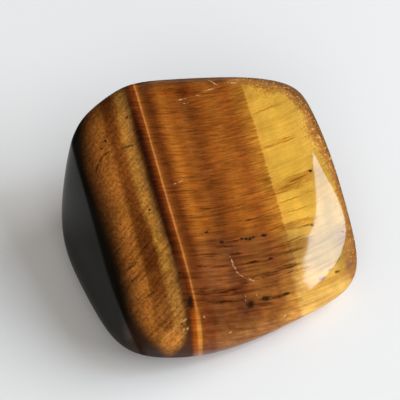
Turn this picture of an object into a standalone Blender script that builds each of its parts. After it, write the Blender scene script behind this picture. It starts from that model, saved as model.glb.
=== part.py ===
"""A tumbled and polished tiger's eye: one solid stone, lying on its flattest side.

For Blender 4.5, in metres with +Z up. The origin is on the floor, under the middle of
the stone. +X is the stone's right and -Y is its front, as it is seen from the front.
"""
import math

import bmesh
import bpy
from mathutils import Vector

MM = 0.001

# Tumbling wears a broken lump down to a few broad faces that run into each other. Each
# one is given by the way it looks, in degrees round from +X and degrees above level, and
# by how far its plane lies from the heart of the stone, in mm.
WORN_FACES = {
    "broad_top": (-53.5, 62.5, 5.3),
    "left_bevel": (205.0, 58.5, 14.1),
    "right_bevel": (5.5, 56.5, 13.6),
    "left_side": (207.0, 34.5, 14.6),
    "left_undercut": (203.5, -18.5, 20.2),
    "front_side": (-57.0, -8.0, 21.4),
    "front_undercut": (-93.5, -22.0, 23.9),
    "right_undercut": (29.5, -28.0, 16.2),
    "back_side": (104.0, 3.5, 12.7),
    "back_left_side": (150.5, -18.0, 16.7),
    "resting_side": (0.0, -90.0, 9.4),
}

# How tightly a rim turns from one face into the next: a higher power is a tighter rim.
RIM_POWER = 10.0

# The lowest point is worn flat by this much, which is what the stone rests on.
RESTING_FLAT = 0.25 * MM

# The sawn block that the stone was tumbled from. Its corners are in mm from the heart of
# the stone, and each is keyed by its side along X, Y and Z.
BLOCK_CORNERS = {
    (-1, -1, -1): (-8.0, -22.0, -9.3),
    (1, -1, -1): (21.0, -10.5, -9.3),
    (-1, 1, -1): (-14.0, 8.0, -9.3),
    (1, 1, -1): (6.7, 16.5, -9.3),
    (-1, -1, 1): (-9.0, -25.0, -2.0),
    (1, -1, 1): (23.0, -10.5, -4.0),
    (-1, 1, 1): (-16.0, 9.5, 10.0),
    (1, 1, 1): (14.5, 16.5, 6.5),
}
BLOCK_ROWS = (34, 32, 18)  # rows of faces along X, Y and Z
ROW_CROWDING = 0.5  # how far the rows draw in towards the edges, from 0 to 1

STONE_COLOUR = (0.30, 0.125, 0.025, 1.0)
STONE_ROUGHNESS = 0.08


def facing(azimuth, elevation):
    """The unit vector that looks along a compass angle and a height angle in degrees."""
    around, above = math.radians(azimuth), math.radians(elevation)
    return Vector((math.cos(above) * math.cos(around),
                   math.cos(above) * math.sin(around),
                   math.sin(above)))


def depth_in_stone(point, planes):
    """0 at the heart of the stone, 1 on its surface and more outside it."""
    reach = sum(max(0.0, point.dot(normal) / distance) ** RIM_POWER
                for normal, distance in planes)
    return reach ** (1.0 / RIM_POWER)


def crowd_to_edges(place):
    """Moves a row's place, from -1 to 1 across the block, towards the nearer edge."""
    return (1 - ROW_CROWDING) * place + ROW_CROWDING * math.sin(place * math.pi / 2)


def saw_block():
    """The sawn block, divided into rows that lie closest along its edges."""
    block = bmesh.new()
    bmesh.ops.create_cube(block, size=2.0)
    for axis, rows in enumerate(BLOCK_ROWS):
        along = [edge for edge in block.edges
                 if abs(edge.verts[0].co[axis] - edge.verts[1].co[axis]) > 1]
        bmesh.ops.subdivide_edges(block, edges=along, cuts=rows - 1)
    for vert in block.verts:
        x, y, z = (crowd_to_edges(place) for place in vert.co)
        vert.co = sum((Vector(corner) * (1 + x * side_x) * (1 + y * side_y) * (1 + z * side_z)
                       for (side_x, side_y, side_z), corner in BLOCK_CORNERS.items()),
                      Vector()) / 8 * MM
    return block


def wear_down(stone):
    """Moves each point of the block, towards or from the heart, onto the worn faces."""
    planes = [(facing(azimuth, elevation), distance * MM)
              for azimuth, elevation, distance in WORN_FACES.values()]
    for vert in stone.verts:
        vert.co /= depth_in_stone(vert.co, planes)


def flatten_resting_side(stone):
    """Cuts the lowest point off level, so that the stone has a true face to rest on."""
    level = min(vert.co.z for vert in stone.verts) + RESTING_FLAT
    bmesh.ops.bisect_plane(stone, geom=stone.verts[:] + stone.edges[:] + stone.faces[:],
                           dist=RESTING_FLAT / 5, plane_co=(0, 0, level), plane_no=(0, 0, -1),
                           clear_outer=True)


def wrap(stone):
    """Closes the points in a tight skin. A tumbled stone has no hollows, so it fits all over."""
    bmesh.ops.delete(stone, geom=stone.edges[:] + stone.faces[:], context="EDGES_FACES")
    skin = bmesh.ops.convex_hull(stone, input=stone.verts)
    inside = {item for item in skin["geom_interior"] + skin["geom_unused"]
              if isinstance(item, bmesh.types.BMVert)}
    bmesh.ops.delete(stone, geom=list(inside), context="VERTS")


def set_on_origin(stone):
    """Moves the stone so that the origin is on the floor, under the middle of its box."""
    low = Vector([min(vert.co[axis] for vert in stone.verts) for axis in range(3)])
    high = Vector([max(vert.co[axis] for vert in stone.verts) for axis in range(3)])
    middle = (low + high) / 2
    bmesh.ops.translate(stone, vec=(-middle.x, -middle.y, -low.z), verts=stone.verts)


def polished_stone():
    """Golden brown stone with a tumbled polish."""
    material = bpy.data.materials.new("polished_tigers_eye")
    material.use_nodes = True
    shader = material.node_tree.nodes["Principled BSDF"]
    shader.inputs["Base Color"].default_value = STONE_COLOUR
    shader.inputs["Roughness"].default_value = STONE_ROUGHNESS
    shader.inputs["Metallic"].default_value = 0.0
    material.diffuse_color = STONE_COLOUR
    return material


for old in list(bpy.data.objects):
    bpy.data.objects.remove(old, do_unlink=True)

collection = bpy.data.collections.new("tumbled_tigers_eye")
bpy.context.scene.collection.children.link(collection)

stone = saw_block()
wear_down(stone)
flatten_resting_side(stone)
wrap(stone)
set_on_origin(stone)
bmesh.ops.recalc_face_normals(stone, faces=stone.faces)

mesh = bpy.data.meshes.new("tigers_eye")
stone.to_mesh(mesh)
stone.free()
mesh.shade_smooth()
mesh.materials.append(polished_stone())
collection.objects.link(bpy.data.objects.new("tigers_eye", mesh))
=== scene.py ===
"""A tumbled and polished tiger's eye, lying on a pale table in the light of one window.

For Blender 4.5, in metres with +Z up. The frame gives the stone's place and size.
"""
import math

import bmesh
import bpy
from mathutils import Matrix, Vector


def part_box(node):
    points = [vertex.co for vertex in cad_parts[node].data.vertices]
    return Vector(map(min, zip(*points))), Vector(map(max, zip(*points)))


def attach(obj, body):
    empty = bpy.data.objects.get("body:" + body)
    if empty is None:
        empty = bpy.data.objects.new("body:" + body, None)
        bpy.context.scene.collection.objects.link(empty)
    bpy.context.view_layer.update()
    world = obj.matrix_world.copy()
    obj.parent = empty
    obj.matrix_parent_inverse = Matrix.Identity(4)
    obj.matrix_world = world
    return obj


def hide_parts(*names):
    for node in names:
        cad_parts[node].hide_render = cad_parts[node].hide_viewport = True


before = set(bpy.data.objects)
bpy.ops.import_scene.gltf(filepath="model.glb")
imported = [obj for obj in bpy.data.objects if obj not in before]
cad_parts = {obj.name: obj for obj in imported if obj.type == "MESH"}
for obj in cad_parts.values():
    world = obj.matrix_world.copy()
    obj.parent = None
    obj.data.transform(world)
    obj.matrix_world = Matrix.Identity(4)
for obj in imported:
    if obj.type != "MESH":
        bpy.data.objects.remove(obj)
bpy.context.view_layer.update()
scene = bpy.context.scene

# Camera
# A long lens looks down on the stone from the front, so that its sides stay nearly
# parallel. It stands far enough off for the whole stone to be sharp.
MM = 0.001
CAMERA_HEIGHT_ANGLE = 50.0  # degrees above level
CAMERA_DISTANCE = 300 * MM
AIM_POINT = Vector((-1.2, 3.15, 9.0)) * MM
SEEN_WIDTH = 54.24 * MM  # how much of the table's width the picture takes in at the stone
SENSOR_WIDTH = 36.0  # mm


def toward(azimuth, elevation):
    """The unit vector that points along a compass angle and a height angle in degrees."""
    around, above = math.radians(azimuth), math.radians(elevation)
    return Vector((math.cos(above) * math.cos(around),
                   math.cos(above) * math.sin(around),
                   math.sin(above)))


camera_data = bpy.data.cameras.new("camera")
camera_data.sensor_width = SENSOR_WIDTH
camera_data.lens = SENSOR_WIDTH * CAMERA_DISTANCE / SEEN_WIDTH
camera_data.clip_start = CAMERA_DISTANCE / 20
camera = bpy.data.objects.new("camera", camera_data)
camera.location = AIM_POINT + toward(-90, CAMERA_HEIGHT_ANGLE) * CAMERA_DISTANCE
camera.rotation_euler = (math.radians(90 - CAMERA_HEIGHT_ANGLE), 0, 0)
scene.collection.objects.link(camera)
scene.camera = camera
scene.view_settings.view_transform = "Standard"

# Table
# The stone lies on a smooth, round board. Its pale, slightly cool paint also shows in the
# polish of the stone's left side.
TABLE_RADIUS = 400 * MM
TABLE_PAINT = "e1e2e5"
TABLE_ROUGHNESS = 0.6


def linear(hex_colour):
    """An sRGB hex colour as the linear colour that shaders work in."""
    parts = [int(hex_colour[start:start + 2], 16) / 255 for start in (0, 2, 4)]
    return [part / 12.92 if part <= 0.04045 else ((part + 0.055) / 1.055) ** 2.4
            for part in parts] + [1.0]


def add_node(tree, kind, inputs, output=0, **settings):
    """Adds a node, sets or links its inputs, and returns the output that is asked for."""
    node = tree.nodes.new(kind)
    for name, value in settings.items():
        setattr(node, name, value)
    for name, value in inputs.items():
        if isinstance(value, bpy.types.NodeSocket):
            tree.links.new(value, node.inputs[name])
        else:
            node.inputs[name].default_value = value
    return node.outputs[output] if node.outputs else None


def new_material(name):
    """A new material with an empty node tree, and that tree."""
    material = bpy.data.materials.new(name)
    material.use_nodes = True
    material.node_tree.nodes.clear()
    return material, material.node_tree


table_mesh = bpy.data.meshes.new("table")
table_form = bmesh.new()
bmesh.ops.create_circle(table_form, cap_ends=True, radius=TABLE_RADIUS, segments=96)
table_form.to_mesh(table_mesh)
table_form.free()
table = bpy.data.objects.new("table", table_mesh)
scene.collection.objects.link(table)

# Matt emulsion paint: it scatters nearly all light and has only a faint, wide sheen.
table_paint, tree = new_material("matt_pale_paint")
paint = add_node(tree, "ShaderNodeBsdfPrincipled", {
    "Base Color": linear(TABLE_PAINT), "Roughness": TABLE_ROUGHNESS, "Specular IOR Level": 0.1})
add_node(tree, "ShaderNodeOutputMaterial", {"Surface": paint})
table_mesh.materials.append(table_paint)

# Window
# A tall window stands to the right. The part of it that the polish mirrors is a sheet of
# light with its own outline, which is the clear highlight on the stone's right shoulder.
MIRRORED_DISTANCE = 3.0  # metres from the stone
MIRRORED_BRIGHTNESS = 12.0
SKY_COLOUR = "def2ff"
MIRRORED_OUTLINE = [  # degrees round from +X and above level, as seen from the stone
    (10, 49.5), (8.5, 47.5), (9.5, 44), (12.8, 33.5), (12.5, 32), (7, 38.5), (-1.6, 46.4),
    (-8, 48.7), (-13, 48.7), (-17.4, 46.8), (-21, 44), (-14, 51.5), (-8, 55.2), (-5, 56),
    (-2, 55.2), (2.2, 53.7), (5.5, 52.3)]

window_mesh = bpy.data.meshes.new("mirrored_window")
window_form = bmesh.new()
window_form.faces.new([window_form.verts.new(AIM_POINT + toward(*corner) * MIRRORED_DISTANCE)
                       for corner in MIRRORED_OUTLINE])
bmesh.ops.triangulate(window_form, faces=window_form.faces)
window_form.to_mesh(window_mesh)
window_form.free()
window = bpy.data.objects.new("mirrored_window", window_mesh)
scene.collection.objects.link(window)

# Bright overcast sky behind glass, which shines evenly over its whole sheet.
window_light, tree = new_material("window_light")
glow = add_node(tree, "ShaderNodeEmission", {
    "Color": linear(SKY_COLOUR), "Strength": MIRRORED_BRIGHTNESS})
add_node(tree, "ShaderNodeOutputMaterial", {"Surface": glow})
window_mesh.materials.append(window_light)


def add_soft_light(name, azimuth, elevation, distance, width, height, brightness, colour):
    """A wide, even light that faces the stone and doesn't show in its polish."""
    light_data = bpy.data.lights.new(name, "AREA")
    light_data.shape = "RECTANGLE"
    light_data.size = width
    light_data.size_y = height
    light_data.energy = brightness * math.pi * width * height
    light_data.color = linear(colour)[:3]
    light = bpy.data.objects.new(name, light_data)
    light.location = AIM_POINT + toward(azimuth, elevation) * distance
    light.rotation_euler = toward(azimuth, elevation).to_track_quat("Z", "Y").to_euler()
    light.visible_glossy = False
    light.visible_camera = False
    scene.collection.objects.link(light)


# The window lights the stone from the right, and a paler wall gives back some from in front.
add_soft_light("window_daylight", azimuth=5, elevation=25, distance=1.0, width=1.45,
               height=0.83, brightness=5.05, colour="fafcfc")
add_soft_light("light_from_in_front", azimuth=-90, elevation=35, distance=1.0, width=0.8,
               height=0.4, brightness=3.25, colour="fffdf8")

# Cards
# Two cards stand on the table, out of the picture, where only the polish sees them. Each is a
# sheet that glows evenly in place of plain paper: the black one glows next to nothing, and hides
# the table behind the stone. The low white one, on the left, raises the mirrored edge of the
# table a little.
BLACK_CARD_GLOW = 0.03  # how brightly each card glows, in place of paper
WHITE_CARD_GLOW = 0.62
BLACK_CARD_FOOT = ((-66, 34), (-8, 70))  # the two ends of its lower edge, in mm
BLACK_CARD_HEIGHT = 80
WHITE_CARD_FOOT = ((-240, -80), (-240, 110))
WHITE_CARD_HEIGHT = 17


def add_card(name, foot, card_height, glow_strength):
    """A card that stands on its lower edge and glows this brightly, in place of paper."""
    (near_x, near_y), (far_x, far_y) = foot
    card_mesh = bpy.data.meshes.new(name)
    card_form = bmesh.new()
    card_form.faces.new([card_form.verts.new((x * MM, y * MM, z * MM)) for x, y, z in (
        (near_x, near_y, 0), (far_x, far_y, 0),
        (far_x, far_y, card_height), (near_x, near_y, card_height))])
    card_form.to_mesh(card_mesh)
    card_form.free()
    card_glow, tree = new_material(name + "_glow")
    surface = add_node(tree, "ShaderNodeEmission", {
        "Color": linear("ffffff"), "Strength": glow_strength})
    add_node(tree, "ShaderNodeOutputMaterial", {"Surface": surface})
    card_mesh.materials.append(card_glow)
    card = bpy.data.objects.new(name, card_mesh)
    card.visible_camera = False
    card.visible_diffuse = False
    card.visible_shadow = False
    scene.collection.objects.link(card)


add_card("black_card", BLACK_CARD_FOOT, BLACK_CARD_HEIGHT, BLACK_CARD_GLOW)
add_card("white_card", WHITE_CARD_FOOT, WHITE_CARD_HEIGHT, WHITE_CARD_GLOW)

# Room
# The rest of the light comes back softly from the walls and the ceiling. In the polish
# the room shows as pale low down on the right, and as dark everywhere else.
ROOM_FILL = 0.325
ROOM_SEEN = 0.85  # the plain backdrop above the table's edge
ROOM_DARK = 0.03
ROOM_PALE = 0.9
PALE_FROM = (-0.1, 0.3)  # how far to the right the pale part starts, and is full
PALE_BELOW = (0.65, 0.45)  # how high up it starts, and is full
WAY_UP = (0, -0.3, 1)  # what counts as up there, which tips towards the front

room = bpy.data.worlds.new("room")
room.use_nodes = True
room.cycles.sampling_method = "NONE"
scene.world = room
tree = room.node_tree
tree.nodes.clear()
direction = add_node(tree, "ShaderNodeTexCoord", {}, "Generated")
ray = add_node(tree, "ShaderNodeLightPath", {}).node.outputs
rightward = add_node(tree, "ShaderNodeVectorMath", {
    0: direction, 1: (1, 0, 0)}, "Value", operation="DOT_PRODUCT")
upward = add_node(tree, "ShaderNodeVectorMath", {
    0: direction, 1: WAY_UP}, "Value", operation="DOT_PRODUCT")
right_side = add_node(tree, "ShaderNodeMapRange", {
    "Value": rightward, "From Min": PALE_FROM[0], "From Max": PALE_FROM[1]},
    interpolation_type="SMOOTHSTEP")
low_down = add_node(tree, "ShaderNodeMapRange", {
    "Value": upward, "From Min": PALE_BELOW[0], "From Max": PALE_BELOW[1]},
    interpolation_type="SMOOTHSTEP")
pale = add_node(tree, "ShaderNodeMath", {0: right_side, 1: low_down}, operation="MULTIPLY")
mirrored = add_node(tree, "ShaderNodeMapRange", {
    "Value": pale, "To Min": ROOM_DARK, "To Max": ROOM_PALE})
unlit = add_node(tree, "ShaderNodeMix", {
    "Factor": ray["Is Glossy Ray"], "A": ROOM_FILL, "B": mirrored})
strength = add_node(tree, "ShaderNodeMix", {
    "Factor": ray["Is Camera Ray"], "A": unlit, "B": ROOM_SEEN})
backdrop = add_node(tree, "ShaderNodeBackground", {
    "Color": linear("fff6ea"), "Strength": strength})
add_node(tree, "ShaderNodeOutputWorld", {"Surface": backdrop})

# Stone
# Tiger's eye is quartz that has grown through fibres of another mineral, in layers. A
# sawn block of it is tumbled for weeks in finer and finer grit until its faces run into
# each other and take a glassy polish. It is one solid, and lies on its flattest face.
WORN_FACES = [  # degrees round from +X, degrees above level, mm from the heart
    (-53.5, 62.5, 5.3),  # broad top
    (205.0, 58.5, 14.1),  # left bevel
    (5.5, 56.5, 13.6),  # right bevel
    (207.0, 34.5, 14.6),  # left side
    (203.5, -18.5, 20.2),  # left undercut
    (-57.0, -8.0, 21.4),  # front side
    (-93.5, -22.0, 23.9),  # front undercut
    (29.5, -28.0, 16.2),  # right undercut
    (104.0, 3.5, 12.7),  # back side
    (150.5, -18.0, 16.7),  # back left side
    (0.0, -90.0, 9.4)]  # resting side
RIM_POWER = 10.0  # a higher power makes tighter rims
RESTING_FLAT = 0.25 * MM  # how much of the lowest point is worn flat
BLOCK_CORNERS = {  # mm from the heart, keyed by the corner's side along X, Y and Z
    (-1, -1, -1): (-8.0, -22.0, -9.3),
    (1, -1, -1): (21.0, -10.5, -9.3),
    (-1, 1, -1): (-14.0, 8.0, -9.3),
    (1, 1, -1): (6.7, 16.5, -9.3),
    (-1, -1, 1): (-9.0, -25.0, -2.0),
    (1, -1, 1): (23.0, -10.5, -4.0),
    (-1, 1, 1): (-16.0, 9.5, 10.0),
    (1, 1, 1): (14.5, 16.5, 6.5)}
BLOCK_ROWS = (150, 140, 80)  # rows of faces along X, Y and Z
ROW_CROWDING = 0.5  # how far the rows draw in towards the edges, from 0 to 1

stone_low, stone_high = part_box("tigers_eye")


def crowd_to_edges(place):
    """Moves a row's place, from -1 to 1 across the block, towards the nearer edge."""
    return (1 - ROW_CROWDING) * place + ROW_CROWDING * math.sin(place * math.pi / 2)


def in_block(place):
    """The point of the sawn block that has this place between its eight corners."""
    x, y, z = (crowd_to_edges(part) for part in place)
    return sum((Vector(corner) * (1 + x * side_x) * (1 + y * side_y) * (1 + z * side_z)
                for (side_x, side_y, side_z), corner in BLOCK_CORNERS.items()),
               Vector()) / 8 * MM


worn_planes = [(toward(azimuth, elevation), distance * MM)
               for azimuth, elevation, distance in WORN_FACES]


def worn(point):
    """Brings a point onto the worn faces and the rounded rims between them."""
    reach = sum(max(0.0, point.dot(normal) / distance) ** RIM_POWER
                for normal, distance in worn_planes)
    return point / reach ** (1 / RIM_POWER)


stone_form = bmesh.new()
bmesh.ops.create_cube(stone_form, size=2.0)
for axis, rows in enumerate(BLOCK_ROWS):
    along = [edge for edge in stone_form.edges
             if abs(edge.verts[0].co[axis] - edge.verts[1].co[axis]) > 1]
    bmesh.ops.subdivide_edges(stone_form, edges=along, cuts=rows - 1)
for vert in stone_form.verts:
    vert.co = worn(in_block(vert.co))
worn_level = min(vert.co.z for vert in stone_form.verts) + RESTING_FLAT
for vert in stone_form.verts:
    vert.co.z = max(vert.co.z, worn_level)
low = Vector([min(vert.co[axis] for vert in stone_form.verts) for axis in range(3)])
high = Vector([max(vert.co[axis] for vert in stone_form.verts) for axis in range(3)])
middle = (low + high) / 2
stone_middle = (stone_low + stone_high) / 2
bmesh.ops.translate(stone_form, verts=stone_form.verts, vec=(
    stone_middle.x - middle.x, stone_middle.y - middle.y, stone_low.z - low.z))
bmesh.ops.recalc_face_normals(stone_form, faces=stone_form.faces)

stone_mesh = bpy.data.meshes.new("tumbled_stone")
stone_form.to_mesh(stone_mesh)
stone_form.free()
stone_mesh.shade_smooth()
stone = bpy.data.objects.new("tumbled_stone", stone_mesh)
scene.collection.objects.link(stone)

# Polished tiger's eye: golden to brown silk under a glassy skin. The layers stand on edge from
# front to back, so the colours run in bands, and the fibres cross them. A place in the stone
# is measured in mm to the right, in height, which runs back and up along the broad top, and
# in depth, which comes out of it.
QUARTZ_IOR = 1.544
POLISH_ROUGHNESS = 0.03
POLISH_COVER = 0.7  # how much of the skin has taken the full polish
SILK_ROUGHNESS = 0.5
SILK_SHINE = 0.79  # how bright the silk is beside the colours of its layers
THREAD_DEPTH = 3.1  # how much its fine threads stand out
LAYER_ORIGIN = Vector((-1.2, 3.15, 9.0)) * MM  # where right, height and depth are 0
LAYER_TURN = (math.radians(40), 0, 0)  # how steeply the height climbs on its way back
TOP_SLOPE = (0.3, 0.31, 1.0)  # on the broad top these shares of right, height and depth
TOP_DISTANCE = 5.4  # add up to this many mm
SEAM_BEND = (-4.286, -0.2974, 0.00068, 0.0000835, -0.0000079)  # by powers of the height in mm
WAVE_REACH = 0.35  # how far the layers waver either way, in mm
RAGGED_REACH = 0.09  # how far the threads fray their edges either way, in mm
FIBRE_RISE = (0.0, 0.05, 0.004, 0.00023)  # by powers of the distance right of the seam in mm
HATCH_SLOPE = 0.9  # how steeply the fibres rise left of the seam
HATCH_EDGE = -1.3  # mm from the seam, where that begins
SHOULDER_LINE = (-9.42, -0.05)  # where the black starts, by powers of the height in mm
TIP_MIDDLE = -4.2  # the silk's front tip, in mm from the seam
TIP_HEIGHT = -20.8
TIP_SPREAD = 1.15  # how much height the edge of the tip gains for each mm to the side
TIP_ROUNDING = 0.25  # more of it makes the tip blunter
FRAY_SIZE = 0.625  # the size in mm of the bends in a mark's outline
FRAY_REACH = Vector((0.55, 0.4, 0))  # how far they go from end to end, in mm right and high
UPPER_LINE = (-3.4, -2.4)  # where the stone's upper side starts, and is full
UPPER_SLOPE = 0.56  # the share of height beside depth in that place
LEFT_LAYERS = [  # mm across the layers from the orange seam, and the colour there
    (-9.0, "985b2a"),
    (-6.4, "a06124"),
    (-5.8, "985d24"),
    (-5.4, "774214"),
    (-5.0, "683712"),
    (-4.2, "703c14"),
    (-3.8, "83511d"),
    (-3.4, "9e6a2a"),
    (-2.8, "9c682a"),
    (-2.4, "8a5d2a"),
    (-2.1, "724d23"),
    (-1.8, "502f0f"),
    (-1.4, "2f1307"),
    (-1.0, "3d1809"),
    (-0.6, "5f290b"),
    (-0.35, "79390f"),
    (-0.2, "824113"),
    (-0.06, "bd7839"),
    (0.05, "c48043")]
# The bright yellow layer at the right end is partly its own colour and partly painted chatoyant
# sheen, the glow that its fibres give back in this light.
RIGHT_LAYERS = [
    (0.0, "c48043"),
    (0.12, "9c5820"),
    (0.3, "84491a"),
    (0.7, "713b13"),
    (1.3, "673211"),
    (1.7, "793d14"),
    (2.2, "935119"),
    (2.8, "a76121"),
    (3.3, "a45f1e"),
    (4.0, "97521a"),
    (5.0, "8f501c"),
    (5.7, "7f4518"),
    (6.4, "7b4017"),
    (7.2, "864717"),
    (8.2, "94501a"),
    (9.4, "9d5b1d"),
    (10.8, "98551c"),
    (11.8, "95501b"),
    (12.6, "a25e1f"),
    (13.4, "ae6c24"),
    (14.1, "b57427"),
    (14.5, "ba7a28"),
    (14.7, "d79f3e"),
    (16.0, "daa840"),
    (19.0, "ddab42"),
    (22.0, "dfaf4a")]

polished_stone, tree = new_material("polished_tigers_eye")


def power_sum(value, terms):
    """Adds up the terms, each times the next higher power of the value."""
    total = terms[-1]
    for term in reversed(terms[:-1]):
        total = add_node(tree, "ShaderNodeMath", {0: total, 1: value, 2: term},
                         operation="MULTIPLY_ADD")
    return total


def ease(value, start, end, full=1.0, least=0.0):
    """Goes softly from the least, with the value at the start, to the full at the end."""
    return add_node(tree, "ShaderNodeMapRange", {
        "Value": value, "From Min": start, "From Max": end, "To Min": least, "To Max": full},
        interpolation_type="SMOOTHSTEP", clamp=False)


def stretch(value, start, end, low, high):
    """Maps the value evenly from one range onto another and keeps it inside."""
    return add_node(tree, "ShaderNodeMapRange", {
        "Value": value, "From Min": start, "From Max": end, "To Min": low, "To Max": high})


def grain(vector, sizes, detail=2.0, roughness=0.5):
    """Noise from 0 to 1, with lumps of about these sizes in mm along the vector's axes."""
    scaled = add_node(tree, "ShaderNodeVectorMath", {
        0: vector, 1: [1 / size for size in sizes]}, operation="MULTIPLY")
    return add_node(tree, "ShaderNodeTexNoise", {
        "Vector": scaled, "Scale": 1.0, "Detail": detail, "Roughness": roughness})


def colour_ramp(value, layers):
    """The colour of the layers at a distance in mm."""
    first, last = layers[0][0], layers[-1][0]
    ramp = add_node(tree, "ShaderNodeValToRGB", {"Fac": stretch(value, first, last, 0, 1)})
    stops = ramp.node.color_ramp.elements
    stops.remove(stops[1])
    for number, (distance, colour) in enumerate(layers):
        position = (distance - first) / (last - first)
        stop = stops[0] if number == 0 else stops.new(position)
        stop.position = position
        stop.color = linear(colour)
    return ramp


place = add_node(tree, "ShaderNodeMapping", {
    "Vector": add_node(tree, "ShaderNodeTexCoord", {}, "Object"), "Location": LAYER_ORIGIN,
    "Rotation": LAYER_TURN, "Scale": (MM, MM, MM)}, vector_type="TEXTURE")
right, height, depth = add_node(tree, "ShaderNodeSeparateXYZ", {0: place}).node.outputs

# How far under the plane of the broad top the skin has dropped, which is more over each rim.
toward_top = add_node(tree, "ShaderNodeVectorMath", {0: place, 1: TOP_SLOPE}, "Value",
                      operation="DOT_PRODUCT")
under_rim = add_node(tree, "ShaderNodeMath", {0: TOP_DISTANCE, 1: toward_top},
                     operation="SUBTRACT")

# The layers follow the bend of the orange seam, and waver more the further they are from it.
straight = add_node(tree, "ShaderNodeMath", {0: right, 1: power_sum(height, SEAM_BEND)},
                    operation="SUBTRACT")
from_seam = add_node(tree, "ShaderNodeMath", {0: straight}, operation="ABSOLUTE")
waves = stretch(grain(place, (2.6, 2.6, 5.0), 3.0, 0.6), 0.0, 1.0, -WAVE_REACH, WAVE_REACH)
across = add_node(tree, "ShaderNodeMath", {
    0: waves, 1: ease(from_seam, 0.3, 2.5, 1.0, 0.15), 2: straight}, operation="MULTIPLY_ADD")

# The fibres cross the layers: almost level right of the seam, and as a steep hatch left of it.
right_of_seam = add_node(tree, "ShaderNodeMath", {0: straight, 1: 0.0}, operation="MAXIMUM")
level = add_node(tree, "ShaderNodeMath", {
    0: height, 1: power_sum(right_of_seam, FIBRE_RISE)}, operation="SUBTRACT")
from_hatch = add_node(tree, "ShaderNodeMath", {0: straight, 1: HATCH_EDGE}, operation="SUBTRACT")
hatched = add_node(tree, "ShaderNodeMath", {0: from_hatch, 1: 0.0}, operation="MINIMUM")
row = add_node(tree, "ShaderNodeMath", {0: hatched, 1: -HATCH_SLOPE, 2: level},
               operation="MULTIPLY_ADD")
fibre_place = add_node(tree, "ShaderNodeCombineXYZ", {0: straight, 1: row, 2: toward_top})

# The noises, coarsest first. Single fibres are too fine to show, so the threads of silk are
# drawn as thick as bundles of them.
cloud = grain(place, (2.2, 4.0, 4.0), 2.0, 0.5)
smoke = grain(place, (1.3, 0.6, 0.8), 3.0, 0.6)
middling = grain(fibre_place, (6.0, 0.5, 1.5), 2.0, 0.5)
fine = grain(fibre_place, (2.6, 0.24, 0.6), 4.0, 0.8)
mottle = grain(place, (0.4, 0.4, 0.4), 2.0, 0.7)
flecks = grain(place, (0.3, 0.3, 0.3), 2.0, 0.6)
pits = grain(place, (0.24, 0.24, 0.24), 1.0)


def roughen(value, noise, reach):
    """Makes an edge ragged with a noise, by up to this many mm either way."""
    return add_node(tree, "ShaderNodeMath", {
        0: value, 1: stretch(noise, 0.3, 0.7, -reach, reach)}, operation="ADD")


def vary(noise, swing):
    """A factor that rises and falls around 1 with a noise, by this much over its range."""
    centred = add_node(tree, "ShaderNodeMath", {0: noise, 1: 0.5}, operation="SUBTRACT")
    return add_node(tree, "ShaderNodeMath", {0: centred, 1: swing, 2: 1.0},
                    operation="MULTIPLY_ADD")


def patch(*edges):
    """1 where every edge has been crossed, and 0 outside any of them.

    An edge is a value, where it starts, where it is crossed and, if not 1, how much it counts.
    """
    total = 1.0
    for edge in edges:
        total = add_node(tree, "ShaderNodeMath", {0: ease(*edge), 1: total},
                         operation="MULTIPLY")
    return total


def shift(value, distance, *edges):
    """Moves a place by a distance in mm inside a patch."""
    return add_node(tree, "ShaderNodeMath", {0: patch(*edges), 1: distance, 2: value},
                    operation="MULTIPLY_ADD")


def weigh(factor, *changes):
    """Raises or lowers a factor by a share of itself, inside one patch after another."""
    for change, *edges in changes:
        share = add_node(tree, "ShaderNodeMath", {0: patch(*edges), 1: change, 2: 1.0},
                         operation="MULTIPLY_ADD")
        factor = add_node(tree, "ShaderNodeMath", {0: factor, 1: share}, operation="MULTIPLY")
    return factor


def tint(colour, hex_colour, amount, blend="MIX"):
    """Lays a new colour over the silk or multiplies it in, by as much as the amount says."""
    return add_node(tree, "ShaderNodeMix", {0: amount, 6: colour, 7: linear(hex_colour)}, 2,
                    data_type="RGBA", blend_type=blend)


def dye(colour, *dyes):
    """Lays new colours over the silk, each of them inside its own patch."""
    for hex_colour, *edges in dyes:
        colour = tint(colour, hex_colour, patch(*edges))
    return colour


left_of_seam = (across, -1.2, -2.0)

# The dark layer beside the seam is narrower at the back and towards the front.
dark_layer = ((across, -5.2, -4.0), (across, -1.1, -1.6))
across_left = shift(across, -0.45, *dark_layer, (height, 1.0, -6.5))
across_left = shift(across_left, -0.35, *dark_layer, (height, 9.0, 13.0))
threads = roughen(across, fine, RAGGED_REACH)
in_yellow = (threads, 14.5, 14.7)
not_yellow = (threads, 14.7, 14.5)
silk = add_node(tree, "ShaderNodeMix", {
    0: ease(across, -0.02, 0.02), 6: colour_ramp(across_left, LEFT_LAYERS),
    7: colour_ramp(threads, RIGHT_LAYERS)}, 2, data_type="RGBA")
silk = dye(
    silk,
    ("7a4420", (across_left, -2.3, -1.6), (across, -0.55, -1.1), (height, -5.0, -11.0, 0.42)),
    ("6b3413", (across_left, -2.0, -1.3), (across, -0.3, -0.8), (height, 10.0, 13.0, 0.35)),
    ("a8782e", (across, -3.6, -3.0), (across, -2.0, -2.6), (height, -3.5, -5.0, 0.7),
     (height, -9.8, -8.3)))

# Near the front tip the brown stripe on the left runs out, and the seam opens out.
silk = dye(
    silk,
    ("9c6229", (across, -6.0, -5.0), (across, -3.4, -4.0), (height, -10.5, -16.0, 0.55)),
    ("b07a3a", (across, -3.9, -3.1), (across, -1.5, -2.1), (height, -9.0, -13.5, 0.4)),
    ("c8843a", (across, -6.2, -4.4), (across, -1.9, -2.8), (height, -16.2, -17.8, 0.9)),
    ("b85c1a", (across, -1.2, -0.4), (across, 0.35, 0.0), (height, -13.5, -15.5, 0.85)),
    ("e09a3e", (across, -0.4, -0.1), (across, 0.5, 0.2), (height, -13.5, -16.0, 0.7)))

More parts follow.
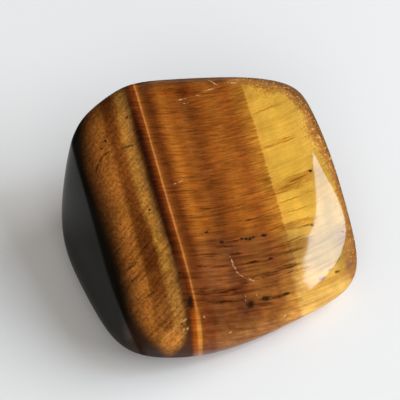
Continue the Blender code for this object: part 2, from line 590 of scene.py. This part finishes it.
# Lower down on the stone the layers right of the seam blur, and more of the dark fibres
# lie in them.
silk = dye(
    silk,
    ("7f4522", (across, 0.2, 0.6), (across, 4.6, 3.4), (height, -5.0, -11.0, 0.55)),
    # The grey laid over them is partly the stone's own dullness and partly a painted haze of
    # reflection.
    ("3c3b3c", (across, 1.2, 3.0), not_yellow, (height, -3.2, -6.5, 0.2)),
    ("a8742f", (across, 6.5, 8.0), (across, 12.4, 11.0), (height, -7.6, -9.4, 0.15),
     (height, -14.4, -12.8)),
    ("a98648", in_yellow, (height, -2.0, -5.5, 0.6), (height, -10.0, -8.0)),
    ("b98440", (threads, 13.6, 14.3), (threads, 15.0, 14.5), (height, -3.5, -5.5, 0.7)))

# Towards the front rim the brown layers turn golden, the sooner the nearer they are to the
# yellow one. On the right the rim turns brown, and along the back its darker brown is painted
# shade, where the rim falls away from the light.
front_rim = ((height, -8.0, -11.0), (under_rim, 0.0, 0.55))
silk = dye(
    silk,
    ("d0903e", *front_rim, (across, 9.5, 12.5, 0.9)),
    ("c98a3c", (across, 11.3, 12.8), (height, -8.5, -12.5, 0.7)),
    ("e6b55c", (across, 13.3, 14.6), (height, -8.0, -11.5, 0.95)),
    ("bc7c3c", *front_rim, (across, 1.5, 4.5), (across, 11.0, 8.0, 0.6)),
    ("b07c42", (across, 21.0, 22.0), (height, -2.0, -5.0, 0.85), (height, -12.6, -10.4)))
right_rim = shift(under_rim, -0.25, (height, 9.0, 12.0), (across, 17.5, 20.0))
right_rim = roughen(right_rim, mottle, RAGGED_REACH)
silk = dye(
    silk,
    ("a0662a", (right_rim, 0.06, 0.26), (across, 12.0, 14.8), (height, -11.5, -8.5, 0.9)),
    # Painted shade along the back rim, where it falls away from the light:
    ("5e3a1c", (right_rim, 0.0, 0.24), (across, 0.2, 0.8), (across, 15.0, 12.0),
     (height, 8.0, 12.0, 0.7)),
    ("5c3a1c", (right_rim, 0.32, 0.62), (across, 0.2, 0.8), (height, -10.0, -6.5, 0.8)))

# Worn specks along that rim, dark and pale ones.
silk = dye(
    silk,
    ("6b3c14", (flecks, 0.45, 0.37), (right_rim, -0.1, 0.12), (across, 13.0, 15.0),
     (height, -10.0, -7.5, 0.3)),
    ("f0b05a", (flecks, 0.57, 0.67), (right_rim, -0.04, 0.2), (right_rim, 1.1, 0.6),
     (across, 13.0, 15.0), (height, -10.0, -7.5, 0.7)))

# Painted sheen and shade: where the silk is lighter or darker than its layers' own colours say,
# partly for its own tone and partly as painted shimmer and painted shade for how the light
# falls on each face.
sheen_and_shade = weigh(
    SILK_SHINE,
    (0.08, (across, -3.9, -3.2), (across, -1.4, -2.0), (height, 3.0, -1.0)),
    (-0.06, (across, 2.8, 4.0), (across, 8.0, 7.0), (height, 11.0, 9.0), (height, 4.0, 5.5)),
    (0.55, left_of_seam, (height, -2.5, 4.5)),
    (-0.52, left_of_seam, (height, 9.0, 14.0)),
    (0.36, (across, -4.2, -3.4), (across, -0.3, -0.7), (height, 8.5, 11.0)),
    (-0.2, (across, -4.0, -3.4), (across, -0.6, -1.0), (height, -1.5, 3.0)),
    (-0.17, (across, -6.0, -5.2), (across, -3.4, -4.4), (height, 4.0, 0.0), (height, -9.5, -7.5)),
    (-0.14, (across, 0.2, 0.8), (height, 7.0, 13.0)),
    (0.2, (across, 3.0, 4.6), (across, 8.4, 7.4), (height, -8.0, -9.6), (height, -14.0, -12.6)),
    (-0.15, (across, 2.4, 3.4), (across, 9.0, 7.6), (height, -12.8, -14.0)),
    (0.25, (across, 13.0, 14.5), (height, -13.6, -15.0)),
    (0.18, in_yellow, (across, 19.0, 17.0), (height, 1.5, -0.5), (height, -5.5, -3.5)),
    (0.06, not_yellow, (across, 8.5, 9.5), (height, 1.5, -0.5), (height, -8.0, -6.0)),
    (-0.15, not_yellow, (across, 7.4, 8.8), (height, -3.0, -5.0), (height, -10.5, -8.0)),
    (-0.18, (across, 19.8, 21.0), (height, 6.0, 3.0)),
    (-0.08, (across, 16.0, 17.5), (height, 0.0, 3.0), (height, 8.0, 6.0)),
    (0.35, (across, 0.2, 0.6), (across, 2.0, 1.0), (height, -13.0, -15.0)))

# How much the fine threads stand out: less low down, in the yellow layer and on the left.
fine_depth = weigh(
    THREAD_DEPTH,
    (-0.42, (height, -3.2, -6.5)),
    (-0.8, in_yellow),
    (-0.42, left_of_seam, (height, -10.0, -3.0)),
    (-0.3, left_of_seam, (height, -7.0, -10.5)),
    (-0.4, (across, -1.0, 0.0), (height, -13.0, -15.0)))

# Each of these makes the silk lighter and darker: the painted sheen and shade, soft clouds,
# fine threads, speckles and, low down right of the seam, smoke.
for factor in (sheen_and_shade, stretch(cloud, 0.3, 0.7, 0.87, 1.13), vary(fine, fine_depth),
               vary(mottle, ease(*left_of_seam, 1.8, 0.3)),
               vary(smoke, patch((across, 0.2, 1.0), not_yellow,
                                 (height, -7.0, -13.5, 1.3)))):
    silk = add_node(tree, "ShaderNodeVectorMath", {0: silk, "Scale": factor}, operation="SCALE")

# Coarse threads darken it, more so low down, and so do pits left of the seam.
thread_tint = add_node(tree, "ShaderNodeMix", {
    0: ease(*in_yellow), 6: linear("9a7a60"), 7: linear("c39a55")}, 2,
    data_type="RGBA")
thread_depth = add_node(tree, "ShaderNodeMath", {
    0: stretch(middling, 0.42, 0.66, 0.0, 1.0), 1: ease(height, -3.2, -6.5, 0.55, 0.25)},
    operation="MULTIPLY")
silk = add_node(tree, "ShaderNodeMix", {0: thread_depth, 6: silk, 7: thread_tint}, 2,
                data_type="RGBA", blend_type="MULTIPLY")
silk = tint(silk, "6a4a30", patch((pits, 0.6, 0.75, 0.75), left_of_seam), "MULTIPLY")


def bow(line, higher, lower, bend):
    """Bends a line by the square of how far the one height is above the other, in mm."""
    past = add_node(tree, "ShaderNodeMath", {0: higher, 1: lower}, operation="SUBTRACT")
    past = add_node(tree, "ShaderNodeMath", {0: past, 1: 0.0}, operation="MAXIMUM")
    square = add_node(tree, "ShaderNodeMath", {0: past, 1: past}, operation="MULTIPLY")
    return add_node(tree, "ShaderNodeMath", {0: square, 1: bend, 2: line},
                    operation="MULTIPLY_ADD")


# The silk fades into black towards the left side, along a line that bends towards the seam at
# the back and at the front, and it ends in a tip at the front.
shoulder = bow(power_sum(height, SHOULDER_LINE), height, 3.0, 0.03)
shoulder = bow(shoulder, -13.6, height, 0.06)
from_shoulder = add_node(tree, "ShaderNodeMath", {0: straight, 1: shoulder},
                         operation="SUBTRACT")
from_middle = add_node(tree, "ShaderNodeMath", {0: straight, 1: TIP_MIDDLE},
                       operation="SUBTRACT")
squared = add_node(tree, "ShaderNodeMath", {0: from_middle, 1: from_middle, 2: TIP_ROUNDING},
                   operation="MULTIPLY_ADD")
rounded = add_node(tree, "ShaderNodeMath", {0: squared}, operation="SQRT")
tip_edge = add_node(tree, "ShaderNodeMath", {0: rounded, 1: TIP_SPREAD, 2: TIP_HEIGHT},
                    operation="MULTIPLY_ADD")
above_tip = add_node(tree, "ShaderNodeMath", {0: height, 1: tip_edge}, operation="SUBTRACT")
silk = dye(silk, ("43271a", (above_tip, 1.1, -1.1), (across, -0.9, -1.4)))
black = dye(linear("13100b"), ("2c1c13", (height, -14.5, -17.8), (across, -10.2, -9.2)))
silk = add_node(tree, "ShaderNodeMix", {0: ease(from_shoulder, -0.9, 2.5), 6: black, 7: silk}, 2,
                data_type="RGBA")

# Marks: streaks of dark fibres, spots of black iron ore, cracks, scratches and flakes. Each
# is given by its two ends, in mm right and high, and by half its width in mm. They show on
# the upper side of the stone alone, and their outlines are frayed.
flat_place = add_node(tree, "ShaderNodeVectorMath", {0: place, 1: (1, 1, 0)},
                      operation="MULTIPLY")
frayed = add_node(tree, "ShaderNodeTexNoise", {
    "Vector": place, "Scale": 1 / FRAY_SIZE, "Detail": 2.0}, "Color")
ragged_place = add_node(tree, "ShaderNodeVectorMath", {
    0: frayed, 1: FRAY_REACH, 2: flat_place}, operation="MULTIPLY_ADD")
upper_height = add_node(tree, "ShaderNodeMath", {0: height, 1: UPPER_SLOPE, 2: depth},
                        operation="MULTIPLY_ADD")
upper_side = ease(upper_height, *UPPER_LINE)


def mark(start, end, half_width):
    """How much of a mark lies at a place: 1 along its middle, and 0 from its edge on."""
    start, end = Vector((*start, 0)), Vector((*end, 0))
    run = (end - start).normalized()
    side = Vector((-run.y, run.x, 0))
    half_length = (end - start).length / 2 + half_width
    offset = add_node(tree, "ShaderNodeVectorMath", {
        0: ragged_place, 1: (start + end + FRAY_REACH) / 2}, operation="SUBTRACT")
    along = add_node(tree, "ShaderNodeVectorMath", {0: offset, 1: run / half_length}, "Value",
                     operation="DOT_PRODUCT")
    aside = add_node(tree, "ShaderNodeVectorMath", {0: offset, 1: side / half_width}, "Value",
                     operation="DOT_PRODUCT")
    along_squared = add_node(tree, "ShaderNodeMath", {0: along, 1: along}, operation="MULTIPLY")
    squared = add_node(tree, "ShaderNodeMath", {0: aside, 1: aside, 2: along_squared},
                       operation="MULTIPLY_ADD")
    return ease(squared, 1.5, 0.0)


def all_marks(marks, strength):
    """All marks of one kind together, this strong, on the upper side of the stone."""
    total = 0.0
    for start, end, half_width in marks:
        total = add_node(tree, "ShaderNodeMath", {0: total, 1: mark(start, end, half_width)},
                         operation="MAXIMUM")
    total = add_node(tree, "ShaderNodeMath", {0: total, 1: upper_side}, operation="MULTIPLY")
    return add_node(tree, "ShaderNodeMath", {0: total, 1: strength}, operation="MULTIPLY")


DARK_STREAKS = [  # bundles of dark fibres right of the seam
    ((-1.2, -7.3), (2.8, -7.3), 0.25),
    ((4.1, -7.2), (5.4, -7.1), 0.30),
    ((-1.2, -8.7), (4.0, -8.7), 0.20),
    ((4.0, -8.7), (10.0, -7.9), 0.22),
    ((5.4, -10.5), (10.3, -9.6), 0.48),
    ((5.3, -11.0), (6.5, -10.9), 0.18),
    ((-0.5, -12.2), (1.4, -12.4), 0.36),
    ((1.4, -12.1), (5.4, -11.9), 0.38),
    ((0.4, -13.3), (5.7, -13.2), 0.32),
    ((8.2, -13.2), (12.0, -12.4), 0.36),
    ((7.4, -13.9), (9.5, -13.7), 0.28),
    ((3.3, -5.7), (5.3, -5.3), 0.16),
    ((-0.3, -1.2), (4.3, -0.8), 0.13),
    ((10.1, -9.2), (13.4, -8.5), 0.28),
    ((0.7, -6.2), (5.3, -6.1), 0.13),
    ((4.8, -2.9), (8.3, -2.4), 0.11),
    ((11.0, -7.1), (13.9, -6.3), 0.26),
    ((11.8, -9.7), (14.6, -8.9), 0.28),
    ((11.5, -4.0), (15.4, -3.2), 0.20),
    ((11.9, -5.5), (14.9, -4.4), 0.14),
    ((11.8, -6.0), (15.6, -4.7), 0.13)]
YELLOW_STREAKS = [  # brown ones that cross the yellow layer
    ((10.5, -3.5), (15.0, -2.4), 0.12),
    ((10.9, 2.6), (14.9, 4.1), 0.12),
    ((11.2, 2.2), (15.0, 3.6), 0.11),
    ((10.6, 1.6), (13.7, 2.5), 0.11),
    ((10.1, 1.2), (12.9, 2.0), 0.10),
    ((9.8, 0.7), (12.5, 1.4), 0.13),
    ((12.5, 1.4), (13.9, 2.0), 0.13),
    ((14.3, 0.9), (15.7, 1.4), 0.10)]
PALE_STREAKS = [  # broad and faint ones, and thin ones in the yellow layer
    ((-5.4, 14.5), (-0.7, 14.6), 0.60),
    ((3.0, -12.2), (7.0, -11.8), 0.60),
    ((9.6, 1.0), (15.8, 3.7), 0.85),
    ((10.2, -3.9), (15.8, -2.3), 0.45),
    ((10.5, -6.3), (15.0, -5.2), 0.60),
    ((8.7, 7.0), (10.0, 7.5), 0.20),
    ((9.9, 7.4), (13.2, 8.6), 0.18),
    ((10.3, 8.0), (13.1, 8.9), 0.13),
    ((7.2, 11.7), (11.2, 13.3), 0.12),
    ((9.7, -0.7), (13.5, 0.5), 0.12),
    ((10.9, -2.0), (14.9, -0.7), 0.11)]
BLACK_SPOTS = [  # iron ore
    ((2.8, -5.6), (3.0, -5.6), 0.25),
    ((5.4, -5.2), (5.6, -5.2), 0.20),
    ((6.1, -5.2), (6.2, -5.2), 0.22),
    ((6.6, -5.2), (6.7, -5.1), 0.22),
    ((7.0, -5.1), (7.2, -5.0), 0.17),
    ((8.4, -4.7), (8.7, -4.7), 0.24),
    ((6.6, -13.9), (6.8, -13.7), 0.52),
    ((8.5, -13.0), (8.9, -13.0), 0.34),
    ((11.2, -12.5), (11.7, -12.4), 0.28),
    ((-1.3, -12.9), (-1.2, -13.9), 0.42),
    ((14.8, 4.0), (15.0, 4.0), 0.22),
    ((-9.8, 11.0), (-9.7, 11.1), 0.16),
    ((-12.7, 7.8), (-12.6, 7.9), 0.18),
    ((-13.1, 6.8), (-13.0, 6.9), 0.17),
    ((-6.7, -1.3), (-6.6, -1.3), 0.17),
    ((-2.4, -16.2), (-2.3, -16.2), 0.17),
    ((9.3, -7.8), (9.6, -7.8), 0.18),
    ((15.0, -3.4), (15.2, -3.4), 0.14),
    ((18.3, -9.7), (18.7, -9.5), 0.24),
    ((0.8, -4.3), (0.9, -4.3), 0.18),
    ((19.3, -4.3), (19.4, -4.3), 0.14),
    ((-2.7, -9.5), (-2.6, -9.5), 0.15)]
LILAC_SPOTS = [
    ((16.0, -10.6), (16.7, -10.3), 0.26),
    ((19.9, -9.0), (20.4, -8.5), 0.32),
    ((20.4, -8.2), (20.7, -7.8), 0.24),
    ((17.2, -9.5), (17.7, -9.2), 0.13)]
CRACKS = [
    ((-13.9, 3.7), (-13.5, 4.9), 0.13),
    ((-13.5, 4.9), (-12.8, 5.9), 0.15),
    ((-12.8, 5.9), (-12.0, 6.5), 0.14),
    ((-10.5, 6.8), (-8.6, 7.4), 0.12),
    ((-9.9, -9.3), (-8.0, -8.1), 0.13),
    ((-9.5, -11.1), (-7.7, -9.5), 0.10),
    ((-7.7, -13.0), (-5.5, -11.8), 0.10)]
SCRATCHES = [  # pale ones in the polish
    ((4.0, -7.4), (4.4, -8.7), 0.11),
    ((4.4, -8.7), (5.2, -9.8), 0.10),
    ((5.2, -9.8), (6.1, -10.5), 0.10),
    ((6.1, -10.5), (7.4, -10.7), 0.13),
    ((6.0, -12.7), (6.0, -13.3), 0.10),
    ((7.5, -12.3), (7.6, -12.8), 0.10),
    ((1.1, 16.3), (2.4, 15.6), 0.10),
    ((3.5, 15.9), (5.5, 16.0), 0.09),
    ((-3.5, 2.1), (-2.3, 2.6), 0.08),
    ((0.5, -15.2), (0.8, -15.5), 0.11),
    ((11.2, -15.5), (11.4, -15.3), 0.14),
    ((12.2, -14.3), (12.5, -14.1), 0.10),
    ((3.8, -17.5), (4.1, -17.3), 0.10),
    ((-3.0, 13.3), (-1.9, 13.7), 0.10),
    ((-1.3, 13.9), (0.0, 14.2), 0.09),
    ((0.5, 14.7), (2.0, 15.2), 0.09),
    ((-2.3, 12.9), (-1.6, 13.1), 0.09)]
FLAKES = [  # pale chips along the rims
    ((-2.1, -17.0), (-1.6, -16.7), 0.18),
    ((-2.2, -15.9), (-1.8, -15.6), 0.13),
    ((13.3, 14.3), (13.7, 13.9), 0.11),
    ((14.0, 13.5), (14.8, 12.7), 0.10),
    ((16.2, 8.8), (16.5, 8.2), 0.12),
    ((16.9, 6.3), (17.9, 5.5), 0.12),
    ((15.3, 8.0), (15.5, 7.6), 0.12),
    ((14.5, 10.0), (14.7, 9.6), 0.12),
    ((17.5, 5.0), (17.9, 4.1), 0.10)]

broken = stretch(mottle, 0.4, 0.6, 0.0, 0.6)
for marks, hex_colour, blend, strength in (
        (PALE_STREAKS, "c49a6c", "MULTIPLY", stretch(fine, 0.65, 0.35, 0.35, 0.9)),
        (DARK_STREAKS, "8a7058", "MULTIPLY", stretch(fine, 0.6, 0.4, 0.1, 1.0)),
        (YELLOW_STREAKS, "b0946e", "MULTIPLY", stretch(fine, 0.65, 0.35, 0.35, 0.6)),
        (BLACK_SPOTS, "180f0a", "MIX", stretch(mottle, 0.35, 0.6, 0.75, 1.0)),
        (LILAC_SPOTS, "6a5a68", "MIX", 0.7),
        (CRACKS, "2a160a", "MIX", 0.75),
        (SCRATCHES, "d8a878", "MIX", broken),
        (FLAKES, "dcac74", "MIX", broken)):
    silk = tint(silk, hex_colour, all_marks(marks, strength), blend)

# The skin has taken less of the polish low down on the left side and on the rim above it, at
# the front tip, along the other rims and, a little, on the upper right.
left_rim = add_node(tree, "ShaderNodeMath", {0: height, 1: 0.014, 2: straight},
                    operation="MULTIPLY_ADD")
left_rim = bow(left_rim, -8.0, height, -0.0185)
polish = weigh(
    POLISH_COVER,
    (-0.54, (across, -9.0, -10.4), (height, 0.5, -6.0)),
    (-0.95, (left_rim, -11.1, -10.6), (across, -6.5, -8.0)),
    (-0.7, (across, -0.5, -1.1), (across, -11.0, -9.0), (height, -17.5, -18.8)),
    (-0.45, (across, -1.4, -0.4), (under_rim, 0.25, 0.7), (under_rim, 2.6, 1.5)),
    (-0.2, (across, 14.0, 16.0), (height, -2.5, 3.0)),
    (-0.5, (across, 20.0, 22.0), (under_rim, 0.1, 0.3), (height, -10.0, -7.0)))

skin = add_node(tree, "ShaderNodeBsdfPrincipled", {
    "Base Color": silk, "Roughness": SILK_ROUGHNESS, "Specular IOR Level": 0.0,
    "IOR": QUARTZ_IOR, "Coat Weight": polish, "Coat Roughness": POLISH_ROUGHNESS,
    "Coat IOR": QUARTZ_IOR})
add_node(tree, "ShaderNodeOutputMaterial", {"Surface": skin})

stone_mesh.materials.append(polished_stone)
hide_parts("tigers_eye")
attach(stone, "root")
